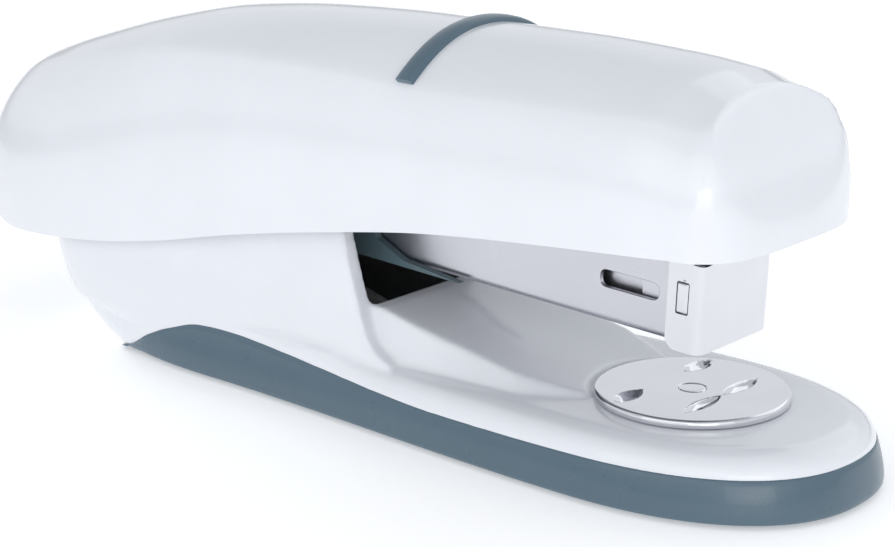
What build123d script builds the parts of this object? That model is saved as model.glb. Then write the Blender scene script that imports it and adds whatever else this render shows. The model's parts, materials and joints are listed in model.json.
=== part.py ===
from build123d import *
import math
import os

# Manual desk stapler. Millimetres, +X towards the nose, +Z up.
# The origin is on the table, under the middle of the whole stapler.

# ---- driving dimensions ----
COVER_REAR_X = -85.5        # rearmost point of the top cover
BASE_TIP_X = 85.5           # foremost point of the base
PIN_X, PIN_Z = -52.5, 36.0  # the hinge pin that the magazine and the handle share
PIN_R = 2.0
PIN_HALF_LENGTH = 12.4
RUNNING = 0.06              # radial clearance of a turning fit
MAGAZINE_TILT = 2.5         # nose-down angle of the magazine at rest, degrees

ANVIL_X = 57.5
ANVIL_R = 14.0
ANVIL_TOP = 11.2
ANVIL_THICK = 1.2
DECK_FLAT = 9.9             # height of the flat that the anvil plate rests on

# cover shell
COVER_WALL = 1.8
FRONT_BLOCK_X = 66.6        # where the crowned top turns down into the front face
COVER_FRONT_X = 74.8
STRIP_X0, STRIP_X1 = 17.0, 20.1
STRIP_PROUD = 1.0
STRIP_SUNK = 0.9

# base
FOOT_Z = 0.6                # underside of the boot, just above the rubber feet
BOOT_WALL = 2.3
SKIRT_WALL = 1.8
BOOT_FLOOR_TOP = 2.5
SHELL_FLOOR_TOP = 5.0
PEDESTAL_TOP = 34.0
PEDESTAL_WALL = 2.2

# magazine, in its own frame: origin on the pin, x towards the nose, z up
CHANNEL_HALF = 7.7
CHANNEL_BOTTOM = -10.9
CHANNEL_TOP = 3.2
CHANNEL_REAR = 6.0
CHANNEL_END = 115.0
SHEET = 0.8
RAIL_HALF = 5.75
RAIL_TOP = -3.8
NOSE_FRONT = 117.2
NOSE_HALF = 8.8
NOSE_BOTTOM = -11.5
NOSE_TOP = 1.4
NOSE_FLAP = 5.7
SLOT_X0, SLOT_X1 = 99.3, 109.4
SLOT_Z, SLOT_R = -4.4, 1.25
ROD_Z, ROD_R = -6.8, 1.1
PUSHER_TOP = -3.0
PUSHER_TRAVEL = 80.0
WEB_HALF = 0.6
PUSHER_LENGTH = 9.0
CARRIER_IN, CARRIER_OUT = 8.0, 9.3
BLADE_X0, BLADE_X1 = 115.35, 116.05
BLADE_TIP = -2.8
RAIL_RIVET_XS = (20.0, 60.0, 98.0)
LEVER_X, LEVER_Z = -6.5, -8.5

# handle arm, level at rest
ARM_TOP = 46.4
ARM_SHEET = 1.2
ARM_IN, ARM_OUT = 5.4, 6.4
ARM_FRONT_X = 66.0
BOSS_XS = (-20.0, 30.0)
BOSS_R = 3.6
LEAF_RIVET_XS = (43.0, 52.0)
LEAF_PATH = ((38.0, 44.6), (57.0, 44.6), (65.0, 43.1))
LEAF_THICK = 0.5

BRACKET_IN, BRACKET_OUT = 10.4, 11.6
BRACKET_REAR_X, BRACKET_FRONT_X = -51.0, 9.0
BRACKET_RIVET_XS = (-48.0, -5.0)
BASE_SCREWS = ((27.0, 14.0), (27.0, -14.0), (-12.0, 15.3), (-12.0, -15.3))
FEET = ((72.0, 9.5), (72.0, -9.5), (-36.0, 10.5), (-36.0, -10.5))
STEM_R = 4.0
BIG = 200.0


# ---- helpers ----
def curve(points):
    """A smooth function through (x, value) points, level beyond both ends."""
    xs = [p[0] for p in points]
    ys = [p[1] for p in points]
    steps = [(ys[i + 1] - ys[i]) / (xs[i + 1] - xs[i]) for i in range(len(xs) - 1)]
    slopes = [steps[0]]
    for before, after in zip(steps, steps[1:]):
        turns = before * after <= 0
        slopes.append(0.0 if turns else 2 * before * after / (before + after))
    slopes.append(steps[-1])

    def value(x):
        if x <= xs[0]:
            return ys[0]
        if x >= xs[-1]:
            return ys[-1]
        i = max(k for k in range(len(xs) - 1) if xs[k] <= x)
        h = xs[i + 1] - xs[i]
        t = (x - xs[i]) / h
        a = (1 + 2 * t) * (1 - t) ** 2 * ys[i] + t * t * (3 - 2 * t) * ys[i + 1]
        b = t * (1 - t) ** 2 * slopes[i] - t * t * (1 - t) * slopes[i + 1]
        return a + h * b

    return value


def block(x0, x1, y0, y1, z0, z1):
    centre = Pos((x0 + x1) / 2, (y0 + y1) / 2, (z0 + z1) / 2)
    return centre * Box(x1 - x0, y1 - y0, z1 - z0)


def pair(x0, x1, y_in, y_out, z0, z1):
    """The same block on both sides of the middle plane."""
    return block(x0, x1, y_in, y_out, z0, z1) + block(x0, x1, -y_out, -y_in, z0, z1)


def side_plate(points, y0, y1):
    """A plate whose outline lies in the XZ plane, between y0 and y1."""
    face = make_face(Plane.XZ * Polyline(*points, close=True))
    return Pos(0, (y0 + y1) / 2, 0) * extrude(face, amount=(y1 - y0) / 2, both=True)


def side_plates(points, y_in, y_out):
    return side_plate(points, y_in, y_out) + side_plate(points, -y_out, -y_in)


def rod_y(x, z, r, y0, y1):
    return Pos(x, (y0 + y1) / 2, z) * Rot(90, 0, 0) * Cylinder(r, y1 - y0)


def rods_y(x, z, r, y_in, y_out):
    return rod_y(x, z, r, y_in, y_out) + rod_y(x, z, r, -y_out, -y_in)


def rod_x(y, z, r, x0, x1):
    return Pos((x0 + x1) / 2, y, z) * Rot(0, 90, 0) * Cylinder(r, x1 - x0)


def rod_z(x, y, r, z0, z1):
    return Pos(x, y, (z0 + z1) / 2) * Cylinder(r, z1 - z0)


def strip_plate(path, thick, half_width):
    """A bent strip of sheet along an XZ path, given by its lower face."""
    upper = [(x, z + thick) for x, z in reversed(path)]
    return side_plate(list(path) + upper, -half_width, half_width)


def in_magazine(shape):
    return Pos(PIN_X, 0, PIN_Z) * Rot(0, MAGAZINE_TILT, 0) * shape


# ---- top cover ----
crown = curve([(-85.5, 33), (-84.8, 36), (-83, 39.2), (-79, 42.2), (-72, 45.2), (-60, 49.1),
               (-45, 53.3), (-30, 56.4), (-12, 58.2), (8, 59), (35, 59.2), (52, 58.6),
               (62, 57.4), (69.2, 55.2)])
rim = curve([(-85.5, 27), (-84.8, 23.6), (-83, 20.5), (-79, 18), (-70, 16.2), (-60, 16.8),
             (-45, 18.6), (-32, 21), (-15, 25), (5, 29), (25, 32.3), (45, 34.3), (60, 35.4),
             (69.2, 35.8)])
rim_half = curve([(-85.5, 5), (-84.8, 8.6), (-83, 12.2), (-79, 15.4), (-70, 18.3), (-60, 19.6),
                  (-45, 20.3), (0, 20.6), (45, 20.5), (57, 20.3), (64, 19.7), (69.2, 18.9)])
crease_half = curve([(-85.5, 2.5), (-83, 4), (-79, 5), (-72, 7), (-63, 9.8), (-50, 12.6),
                     (-30, 15), (-5, 16.5), (25, 17.2), (50, 17), (62, 16), (69.2, 14.5)])
crease_drop = curve([(-85.5, 0.5), (-79, 1.3), (-72, 2), (-63, 2.7), (-50, 3.7), (-30, 4.8),
                     (-5, 5.7), (25, 6.6), (50, 5.6), (62, 4.2), (69.2, 3.4)])
COVER_STATIONS = (-85.4, -84.6, -82.8, -79, -73, -64, -50, -30, -5, 25, 48, 60, FRONT_BLOCK_X)


def cover_section(x, inset=0.0, below=0.0):
    """The cover's cross-section: a crowned top between two creases, and bulging sides."""
    top = crown(x) - inset
    bottom = rim(x) - below
    half = max(rim_half(x) - inset, 1.0)
    crease = min(max(crease_half(x) - 0.7 * inset, 0.6), 0.9 * half)
    crease_z = top - crease_drop(x)
    right = [(y * crease, top - crease_drop(x) * y ** 2.2) for y in (0.45, 0.8)]
    shoulder = (half + 1.0, crease_z - 0.35 * (crease_z - bottom))
    for t in (0.0, 0.25, 0.5, 0.75, 1.0):
        a, b, c = (1 - t) ** 2, 2 * t * (1 - t), t * t
        right.append((a * crease + b * shoulder[0] + c * half,
                      a * crease_z + b * shoulder[1] + c * bottom))
    left = [(-y, z) for y, z in reversed(right)]
    arch = Spline(*left, (0, top), *right)
    closed = arch + Line(right[-1], left[0])
    return Pos(x, 0, 0) * make_face(Plane.YZ * closed)


def front_block(inset, below):
    """The blunt front of the cover: the last section, trimmed to a leaning, rounded face."""
    reach = COVER_FRONT_X - FRONT_BLOCK_X
    body = extrude(cover_section(FRONT_BLOCK_X, inset, below), amount=reach, dir=(1, 0, 0))
    tip = COVER_FRONT_X - inset
    half = rim_half(FRONT_BLOCK_X) + 2.0
    face_line = Spline((FRONT_BLOCK_X, 56.2 - inset), (tip - 3.2, 46.5 - inset), (tip, 35))
    lean = face_line + Polyline((tip, 35), (tip, 10), (FRONT_BLOCK_X, 10),
                                (FRONT_BLOCK_X, 56.2 - inset))
    lean = extrude(make_face(Plane.XZ * lean), amount=40, both=True)
    nose = Spline((FRONT_BLOCK_X, -half + 2 - inset), (tip - 2.1, -15.0 + inset), (tip, 0),
                  (tip - 2.1, 15.0 - inset), (FRONT_BLOCK_X, half - 2 + inset))
    round_plan = nose + Line((FRONT_BLOCK_X, half - 2 + inset), (FRONT_BLOCK_X, -half + 2 - inset))
    round_plan = extrude(make_face(Plane.XY * round_plan), amount=80, both=True)
    return body & lean & round_plan


def cover_body(inset, below):
    stations = [max(x, COVER_REAR_X + inset + 0.1) for x in COVER_STATIONS]
    stations = sorted(set(stations))
    main = loft([cover_section(x, inset, below) for x in stations])
    return main + front_block(inset, below)


def strip_band(raised, sunk):
    """An arch over the crown, between the creases, as wide as the accent strip."""
    middle = (STRIP_X0 + STRIP_X1) / 2
    width = STRIP_X1 - STRIP_X0
    start = Pos(STRIP_X0 - middle, 0, 0)
    outside = extrude(start * cover_section(middle, -raised), amount=width, dir=(1, 0, 0))
    inside = extrude(start * cover_section(middle, sunk), amount=width, dir=(1, 0, 0))
    above = crown(middle) - crease_drop(middle) - 0.7
    return (outside - inside) & block(STRIP_X0, STRIP_X1, -BIG, BIG, above, BIG)


def handle_cover():
    shell = cover_body(0, 0) - cover_body(COVER_WALL, 12.0)
    for x in BOSS_XS:
        boss = rod_z(x, 0, BOSS_R, ARM_TOP + 0.1, crown(x) - COVER_WALL + 0.5)
        shell += boss - rod_z(x, 0, 1.3, ARM_TOP, ARM_TOP + 8.0)
    return shell - strip_band(3.0, STRIP_SUNK)


def accent_strip():
    return strip_band(STRIP_PROUD, STRIP_SUNK)


# ---- handle arm and driver ----
def handle_arm():
    """An inverted steel channel over the magazine, with two hubs on the hinge pin."""
    under = ARM_TOP - ARM_SHEET
    plate = block(-34.0, ARM_FRONT_X, -ARM_OUT, ARM_OUT, under, ARM_TOP)
    slope = strip_plate([(-44.0, 41.0), (-34.0, under)], ARM_SHEET, ARM_OUT)
    cheek = [(-57.0, 34.5), (-55.0, 32.0), (-50.0, 32.0), (-49.4, 37.0), (-46.8, 39.9),
             (-41.0, 42.4), (ARM_FRONT_X, 43.2), (ARM_FRONT_X, ARM_TOP), (-34.0, ARM_TOP),
             (-44.0, 42.2), (-52.0, 41.0), (-56.0, 39.5)]
    arm = plate + slope + side_plates(cheek, ARM_IN, ARM_OUT)
    arm -= rod_y(PIN_X, PIN_Z, 3.0, -BIG, BIG)
    for x in BOSS_XS:
        arm -= rod_z(x, 0, 1.7, under - 1, ARM_TOP + 1)
    for x in LEAF_RIVET_XS:
        arm -= rod_z(x, 0, 1.0, under - 1, ARM_TOP + 1)
    return arm


def handle_bushes():
    ring = rods_y(PIN_X, PIN_Z, 3.0, ARM_IN - 0.2, ARM_OUT + 0.4)
    return ring - rod_y(PIN_X, PIN_Z, PIN_R + RUNNING, -BIG, BIG)


def cover_screws():
    """Two pan-head screws, up through the arm into the cover's bosses."""
    screws = []
    under = ARM_TOP - ARM_SHEET
    for x in BOSS_XS:
        head = rod_z(x, 0, 2.6, under - 1.6, under)
        shank = rod_z(x, 0, 1.3, under, ARM_TOP + 7.5)
        cross = block(x - 1.6, x + 1.6, -0.3, 0.3, under - 1.6, under - 0.9)
        cross += block(x - 0.3, x + 0.3, -1.6, 1.6, under - 1.6, under - 0.9)
        screws.append(head + shank - cross)
    return screws


def driver_leaf():
    """A leaf under the arm whose narrow end carries the driver blade."""
    wide = strip_plate(LEAF_PATH[:2], LEAF_THICK, 4.0)
    leaf = wide + strip_plate(LEAF_PATH[1:], LEAF_THICK, 2.2)
    for x in LEAF_RIVET_XS:
        leaf -= rod_z(x, 0, 1.0, 40, 50)
    return leaf


def leaf_rivets():
    low, high = LEAF_PATH[0][1], ARM_TOP
    rivets = []
    for x in LEAF_RIVET_XS:
        shank = rod_z(x, 0, 1.0, low, high)
        heads = rod_z(x, 0, 1.8, low - 0.6, low) + rod_z(x, 0, 1.8, high, high + 0.5)
        rivets.append(shank + heads)
    return rivets


def driver_blade():
    blade = block(BLADE_X0, BLADE_X1, -6.2, 6.2, BLADE_TIP, 10.5)
    blade += block(BLADE_X0, BLADE_X1, -4.2, 4.2, 10.5, 13.8)
    return in_magazine(blade - block(BLADE_X0 - 1, BLADE_X1 + 1, -2.6, 2.6, 11.0, 13.1))


# ---- magazine carrier and release lever ----
def magazine_carrier():
    """The plastic cradle on the hinge pin: side walls, a floor, a bridge and guide rails."""
    wall = [(-5.0, -4.5), (-10.0, -6.0), (-10.0, -11.0), (-2.0, -12.2), (48.0, -12.2),
            (52.0, -10.9), (75.0, -10.9), (64.0, -9.9), (58.5, -7.6), (55.6, -3.0),
            (55.0, 1.2), (55.0, 4.6), (6.0, 4.6), (3.0, 5.2), (-3.0, 5.2), (-5.6, 2.0)]
    carrier = side_plates(wall, CARRIER_IN, CARRIER_OUT)
    carrier += pair(40.0, 104.0, CARRIER_IN, CARRIER_OUT, 1.2, 4.6)
    carrier += pair(40.0, 104.0, 6.9, CARRIER_OUT, 3.5, 4.6)
    carrier += block(5.0, 48.0, -CARRIER_OUT, CARRIER_OUT, -12.2, -11.1)
    carrier += block(12.0, 30.0, -CARRIER_OUT, CARRIER_OUT, 3.5, 4.9)
    carrier += rods_y(0, 0, 4.6, 7.0, 9.6)
    carrier -= rod_y(0, 0, PIN_R + RUNNING, -BIG, BIG)
    carrier -= rod_y(LEVER_X, LEVER_Z, 1.0, -BIG, BIG)
    carrier -= block(8.0, 13.0, -3.6, 3.6, -13.0, -10.0)
    return in_magazine(carrier)


def lever_pin():
    return in_magazine(rod_y(LEVER_X, LEVER_Z, 1.0, -CARRIER_OUT, CARRIER_OUT))


def release_lever():
    """A rocking catch under the magazine, with a thumb tab behind the pedestal."""
    outline = [(-25.0, -9.0), (-24.0, -11.4), (-10.0, -11.0), (-2.0, -14.4), (12.4, -14.4),
               (12.4, -11.2), (9.4, -11.2), (9.0, -12.8), (0.0, -12.8), (-4.0, -6.4),
               (-9.0, -6.2), (-12.0, -8.4)]
    lever = side_plate(outline, -3.2, 3.2)
    lever += rod_y(LEVER_X, LEVER_Z, 2.4, -6.5, 6.5)
    lever -= rod_y(LEVER_X, LEVER_Z, 1.0 + RUNNING, -BIG, BIG)
    lever += side_plate([(-27.0, -8.6), (-27.0, -11.2), (-20.0, -11.3), (-20.0, -9.0)], -6.0, 6.0)
    return in_magazine(lever)


def lever_spring():
    """The lever's torsion spring, coiled on the lever pin beside the lever."""
    coil = rod_y(LEVER_X, LEVER_Z, 2.2, 6.6, 7.9) - rod_y(LEVER_X, LEVER_Z, 1.3, 6, 9)
    return in_magazine(coil)


def handle_spring():
    """The leaf between the magazine's bridge and the arm that lifts the handle."""
    return in_magazine(strip_plate([(13.0, 5.0), (29.0, 5.0), (54.0, 10.6)], 0.6, 4.0))


# ---- drawer: channel, nose, rail, rod ----
def slot_cutter():
    """The staple window, right through both side walls of the channel."""
    middle = block(SLOT_X0 + SLOT_R, SLOT_X1 - SLOT_R, -BIG, BIG, SLOT_Z - SLOT_R, SLOT_Z + SLOT_R)
    ends = [rod_y(x, SLOT_Z, SLOT_R, -BIG, BIG) for x in (SLOT_X0 + SLOT_R, SLOT_X1 - SLOT_R)]
    return middle + ends[0] + ends[1]


def magazine_channel():
    half, inner = CHANNEL_HALF, CHANNEL_HALF - SHEET
    outer = block(CHANNEL_REAR, CHANNEL_END, -half, half, CHANNEL_BOTTOM, CHANNEL_TOP)
    outer = fillet(outer.edges().filter_by(Axis.X).group_by(Axis.Z)[0], 1.4)
    hollow = block(CHANNEL_REAR - 1, CHANNEL_END + 1, -inner, inner,
                   CHANNEL_BOTTOM + SHEET, CHANNEL_TOP + 1)
    hollow = fillet(hollow.edges().filter_by(Axis.X).group_by(Axis.Z)[0], 0.6)
    channel = outer - hollow - slot_cutter()
    for x in RAIL_RIVET_XS:
        channel -= rod_z(x, 0, 1.2, CHANNEL_BOTTOM - 1, CHANNEL_BOTTOM + 2)
    return in_magazine(channel)


def nose_plate():
    """The bright front plate, wrapped round the end of the channel."""
    outer = block(NOSE_FRONT - NOSE_FLAP, NOSE_FRONT, -NOSE_HALF, NOSE_HALF, NOSE_BOTTOM, NOSE_TOP)
    outer = fillet(outer.edges().filter_by(Axis.Z).group_by(Axis.X)[-1], 1.6)
    inner = block(NOSE_FRONT - NOSE_FLAP - 1, NOSE_FRONT - SHEET, -NOSE_HALF + SHEET,
                  NOSE_HALF - SHEET, NOSE_BOTTOM - 1, NOSE_TOP + 1)
    inner = fillet(inner.edges().filter_by(Axis.Z).group_by(Axis.X)[-1], 0.8)
    plate = outer - inner
    window = pair(112.9, 115.1, NOSE_HALF - 2, NOSE_HALF + 1, -6.2, -1.4)
    return in_magazine(plate - window)


def nose_tabs():
    """The two sprung tabs that hold the nose plate, seen in its side windows."""
    tab = pair(113.1, 114.9, CHANNEL_HALF, NOSE_HALF + 0.1, -6.0, -1.6)
    return in_magazine(tab).solids()


def staple_rail():
    """The box rail that the staples straddle, with a slot in its top for the pusher's web."""
    rail = block(CHANNEL_REAR + 3, CHANNEL_END, -RAIL_HALF, RAIL_HALF, -10.1, RAIL_TOP)
    rail -= block(0, BIG, -RAIL_HALF + SHEET, RAIL_HALF - SHEET, -10.1 + SHEET, RAIL_TOP - SHEET)
    web_x = CHANNEL_END - 0.1 - PUSHER_LENGTH
    rail -= block(web_x - PUSHER_TRAVEL, web_x + 6.5, -WEB_HALF - 0.3, WEB_HALF + 0.3, -5, -3)
    for x in RAIL_RIVET_XS:
        rail -= rod_z(x, 0, 1.2, -12, -8)
    return in_magazine(rail)


def rail_rivets():
    rivets = []
    for x in RAIL_RIVET_XS:
        shank = rod_z(x, 0, 1.2, CHANNEL_BOTTOM, -10.1 + SHEET)
        rivets.append(in_magazine(shank + rod_z(x, 0, 2.1, -10.1 + SHEET, -10.1 + SHEET + 0.4)))
    return rivets


def rod_bracket():
    """The upright at the rear of the channel that holds the guide rod."""
    inner = CHANNEL_HALF - SHEET
    plate = block(CHANNEL_REAR, CHANNEL_REAR + 1.2, -inner, inner, -10.1, 2.9)
    plate = fillet(plate.edges().filter_by(Axis.X).group_by(Axis.Z)[0], 0.6)
    return in_magazine(plate - rod_x(0, ROD_Z, ROD_R, 0, 20))


def guide_rod():
    rod = rod_x(0, ROD_Z, ROD_R, CHANNEL_REAR - 0.6, 112.0)
    return in_magazine(chamfer(rod.edges().group_by(Axis.X)[-1], 0.3))


def pusher():
    """The saddle that straddles the rail, with a web down through its slot to the guide rod."""
    x0 = CHANNEL_END - 0.1 - PUSHER_LENGTH
    body = block(x0, x0 + PUSHER_LENGTH, -6.6, 6.6, -9.6, PUSHER_TOP)
    body = chamfer(body.edges().filter_by(Axis.X).group_by(Axis.Z)[-1], 0.5)
    body -= block(0, BIG, -RAIL_HALF - 0.15, RAIL_HALF + 0.15, -20, RAIL_TOP + 0.2)
    body += block(x0 + 0.5, x0 + 6.0, -WEB_HALF, WEB_HALF, ROD_Z, RAIL_TOP + 0.3)
    body += block(x0, x0 + 6.0, -2.2, 2.2, ROD_Z - 1.8, ROD_Z + 1.8)
    return in_magazine(body - rod_x(0, ROD_Z, ROD_R + RUNNING, 0, BIG))


def pusher_spring():
    """The pusher's coil spring, as the sleeve that its turns fill."""
    x0, x1 = CHANNEL_REAR + 1.2, CHANNEL_END - 0.1 - PUSHER_LENGTH
    sleeve = rod_x(0, ROD_Z, 2.0, x0, x1) - rod_x(0, ROD_Z, 1.4, x0 - 1, x1 + 1)
    return in_magazine(sleeve)


# ---- base ----
FRONT_CENTRE_X = 51.3
REAR_CENTRE_X = -20.0
BASE_HALF_FRONT = 23.4
BASE_HALF_REAR = 20.6
heel_x = curve([(0, -50), (1, -58.5), (5, -66), (10, -68.3), (17, -69.2), (34, -69.5)])
lean_in = curve([(0, 0), (2, 0.15), (6.8, 1.3), (8.4, 2.1), (9.4, 3.4), (9.9, 5.2)])
ENVELOPE_LEVELS = (FOOT_Z, 2.4, 6.8, 9.0, DECK_FLAT)


def super_quarter(centre, reach, half, power, count, sign):
    """Points of a squarish quarter-ellipse, from its tip to its widest place."""
    points = []
    for i in range(count + 1):
        angle = math.pi / 2 * i / count
        x = centre + sign * reach * math.cos(angle) ** (2 / power)
        points.append((x, half * math.sin(angle) ** (2 / power)))
    return points


def base_outline(z, inset=0.0):
    """The base from above at height z: blunt front, tapering sides, round heel, in facets."""
    tight = lean_in(z) + inset
    front = super_quarter(FRONT_CENTRE_X, BASE_TIP_X - FRONT_CENTRE_X - tight,
                          BASE_HALF_FRONT - tight, 2.3, 12, 1)
    reach = REAR_CENTRE_X - heel_x(z) - 0.4 * lean_in(z) - inset
    rear = super_quarter(REAR_CENTRE_X, reach, BASE_HALF_REAR - tight, 2.4, 9, -1)
    upper = front + rear[::-1]
    lower = [(x, -y) for x, y in reversed(upper[1:-1])]
    return Pos(0, 0, z) * make_face(Polyline(*upper, *lower, close=True))


def base_envelope():
    return loft([base_outline(z) for z in ENVELOPE_LEVELS], ruled=True)


def base_core(inset, z0, z1):
    """An upright block inside the base, its outline inset from the base's own."""
    return extrude(base_outline(z0, inset), amount=z1 - z0, dir=(0, 0, 1))


band_top = curve([(-50, 0.1), (-43, 0.7), (-35.5, 4.5), (-29.3, 7.1), (-24.5, 8.4),
                  (-19, 8.75), (-6.5, 8.1), (5, 7.3), (15.5, 6.6), (26, 6.25), (40, 6.35),
                  (58, 6.6), (85.5, 6.85)])
BAND_STEPS = 32


def band_zone():
    """Everything lower than the wavy line where the boot meets the white shell."""
    xs = [-75 + (BASE_TIP_X + 80) * i / BAND_STEPS for i in range(BAND_STEPS + 1)]
    line = Spline(*[(x, band_top(x)) for x in xs])
    closed = line + Polyline((xs[-1], band_top(xs[-1])), (xs[-1], -5), (xs[0], -5),
                             (xs[0], band_top(xs[0])))
    return extrude(make_face(Plane.XZ * closed), amount=40, both=True)


def base_boot():
    """The dark lower tray that wraps the foot of the base."""
    tray = base_envelope() & band_zone()
    tray -= base_core(BOOT_WALL, BOOT_FLOOR_TOP, 20)
    tray -= rod_z(ANVIL_X, 0, 6.4, -5, 20)
    for x, y in BASE_SCREWS:
        tray -= rod_z(x, y, 3.2, -5, 1.6) + rod_z(x, y, 1.7, -5, 20)
    for x, y in FEET:
        tray -= rod_z(x, y, 4.8, -5, 1.3)
    return tray


pedestal_half = curve([(6, 19.3), (8, 19.0), (10, 18.7), (13, 18.2), (17, 17.6), (22, 17.4),
                       (34, 16.6)])
heel_middle_x = curve([(6, -20), (16, -30)])    # where the rounding of the heel starts
heel_power = curve([(6, 3.0), (16, 3.6)])       # how square the heel is
CHEEK_FRONT_X = 17.0
PEDESTAL_LEVELS = (6.0, 10.0, 14.0, 20.0, PEDESTAL_TOP)
WELL_REAR_X = -63.5         # rear end of the well between the cheeks
WELL_LOW_REAR_X = -54.5     # the same below WELL_STEP_Z, where the heel rounds under
WELL_STEP_Z = 11.0
WELL_FRONT_X = 9.4          # just in front of the chassis
WELL_MIDDLE_X, WELL_POWER = -30.0, 4.0


def heeled_outline(z, half, rear_x, front_x, middle_x, power):
    """A plan with straight sides and a squarish round heel."""
    rear = super_quarter(middle_x, middle_x - rear_x, half, power, 6, -1)
    arch = Spline(*[(x, -y) for x, y in reversed(rear[1:])], *rear)
    sides = Polyline(rear[-1], (front_x, half), (front_x, -half), (rear[-1][0], -half))
    return Pos(0, 0, z) * make_face(arch + sides)


def pedestal():
    """The tall rear of the base, whose two cheeks stand inside the cover."""
    plans = []
    for z in PEDESTAL_LEVELS:
        middle_x, power = heel_middle_x(z), heel_power(z)
        plans.append(heeled_outline(z, pedestal_half(z), heel_x(z), CHEEK_FRONT_X, middle_x, power))
    tower = loft(plans, ruled=True)
    front_edge = [(16.5, 5), (16.5, 10.0), (13.2, 11.6), (11.0, 14.0), (8.8, 18.5), (6.8, 25.0),
                  (5.2, 31.0), (2.0, 32.6), (-20.0, 32.0), (-45.0, 28.5), (-75, 24.0), (-75, 5)]
    thumb_notch = block(-75, -59, -10.6, 10.6, 20.5, 40)
    return (tower & side_plate(front_edge, -30, 30)) - thumb_notch


def pedestal_well():
    """The space between the cheeks, down to the floor that the chassis stands on."""
    half = pedestal_half(PEDESTAL_TOP) - PEDESTAL_WALL
    well = []
    for z, rear_x in ((SHELL_FLOOR_TOP, WELL_LOW_REAR_X), (WELL_STEP_Z, WELL_REAR_X)):
        plan = heeled_outline(z, half, rear_x, WELL_FRONT_X, WELL_MIDDLE_X, WELL_POWER)
        well.append(extrude(plan, amount=BIG, dir=(0, 0, 1)))
    return well[0] + well[1]


DECK_LOW_PLAN = ((9.5, 17.4), (21, 17.0), (39, 16.4), (47, 12), (50, 4))
DECK_HIGH_PLAN = ((9.5, 14.7), (17, 13.9), (30, 9.5), (40, 4), (46, 1))
DECK_LOW, DECK_HIGH = 9.0, 18.0


def deck():
    """The raised table in front of the pedestal, sloping down to the anvil."""
    plans = []
    for z, corners in ((DECK_LOW, DECK_LOW_PLAN), (DECK_HIGH, DECK_HIGH_PLAN)):
        mirrored = [(x, -y) for x, y in reversed(corners)]
        plans.append(Pos(0, 0, z) * make_face(Polyline(*corners, *mirrored, close=True)))
    slope = [(9.5, 5), (9.5, 17.4), (12, 17.2), (23, 14.7), (36, 12.3), (43, 11.0), (50, 9.9),
             (54, 9.0), (54, 5)]
    table = loft(plans, ruled=True) & side_plate(slope, -30, 30)
    return table - rod_z(ANVIL_X, 0, ANVIL_R + 0.8, DECK_FLAT, 20)


def base_shell():
    """The white upper shell of the base."""
    shell = base_envelope() + pedestal() - band_zone()
    shell += base_core(BOOT_WALL, BOOT_FLOOR_TOP, 8.0)
    shell += deck()
    shell -= pedestal_well()
    room = base_core(BOOT_WALL + SKIRT_WALL, 2.0, DECK_FLAT - 2.2)
    shell -= room & block(19, BIG, -BIG, BIG, 0, BIG)
    shell += rod_z(ANVIL_X, 0, STEM_R + 3.0, 6.6, 8.5)
    for x, y in BASE_SCREWS:
        shell += rod_z(x, y, 3.4, BOOT_FLOOR_TOP, 8.5)
    shell -= rod_z(ANVIL_X, 0, STEM_R, 0, 20)
    for x, y in BASE_SCREWS:
        shell -= rod_z(x, y, 1.2, 0, 7.0)
    for x in BRACKET_RIVET_XS:
        shell -= rod_z(x, 0, 1.6, 0, 6)
    return shell


def rubber_feet():
    return [fillet(rod_z(x, y, 4.7, 0, 1.3).edges().group_by(Axis.Z)[0], 0.4) for x, y in FEET]


def base_screws():
    """Countersunk into the boot's floor, up into the white shell."""
    screws = []
    for x, y in BASE_SCREWS:
        head = rod_z(x, y, 3.0, 0.9, 1.6)
        cross = block(x - 1.7, x + 1.7, y - 0.3, y + 0.3, 0.5, 1.3)
        cross += block(x - 0.3, x + 0.3, y - 1.7, y + 1.7, 0.5, 1.3)
        screws.append(head + rod_z(x, y, 1.2, 1.6, 6.8) - cross)
    return screws


def chassis_bracket():
    """The bent steel frame in the base that holds the hinge pin."""
    wall = [(BRACKET_REAR_X, 5.0), (BRACKET_FRONT_X, 5.0), (BRACKET_FRONT_X, 16.9),
            (0.0, 19.4), (-30.0, 29.5),
            (-47.0, 39.5), (-50.0, 41.0), (-54.5, 41.0), (-57.0, 38.5), (-57.0, 20.0),
            (BRACKET_REAR_X, 12.0)]
    bracket = side_plates(wall, BRACKET_IN, BRACKET_OUT)
    bracket += block(BRACKET_REAR_X, BRACKET_FRONT_X, -BRACKET_OUT, BRACKET_OUT,
                     SHELL_FLOOR_TOP, 6.2)
    bracket -= rod_y(PIN_X, PIN_Z, PIN_R, -BIG, BIG)
    for x in BRACKET_RIVET_XS:
        bracket -= rod_z(x, 0, 1.6, 0, 8)
    return bracket


def chassis_rivets():
    rivets = []
    for x in BRACKET_RIVET_XS:
        rivet = rod_z(x, 0, 1.6, BOOT_FLOOR_TOP, 6.2) + rod_z(x, 0, 3.0, 6.2, 7.0)
        rivets.append(rivet)
    return rivets


def hinge_pin():
    pin = rod_y(PIN_X, PIN_Z, PIN_R, -PIN_HALF_LENGTH, PIN_HALF_LENGTH)
    groove = rods_y(PIN_X, PIN_Z, PIN_R + 1, 11.65, 12.05)
    core = rod_y(PIN_X, PIN_Z, PIN_R - 0.5, -BIG, BIG)
    return chamfer(pin.edges().group_by(Axis.Y)[0] + pin.edges().group_by(Axis.Y)[-1], 0.3) \
        - (groove - core)


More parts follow.
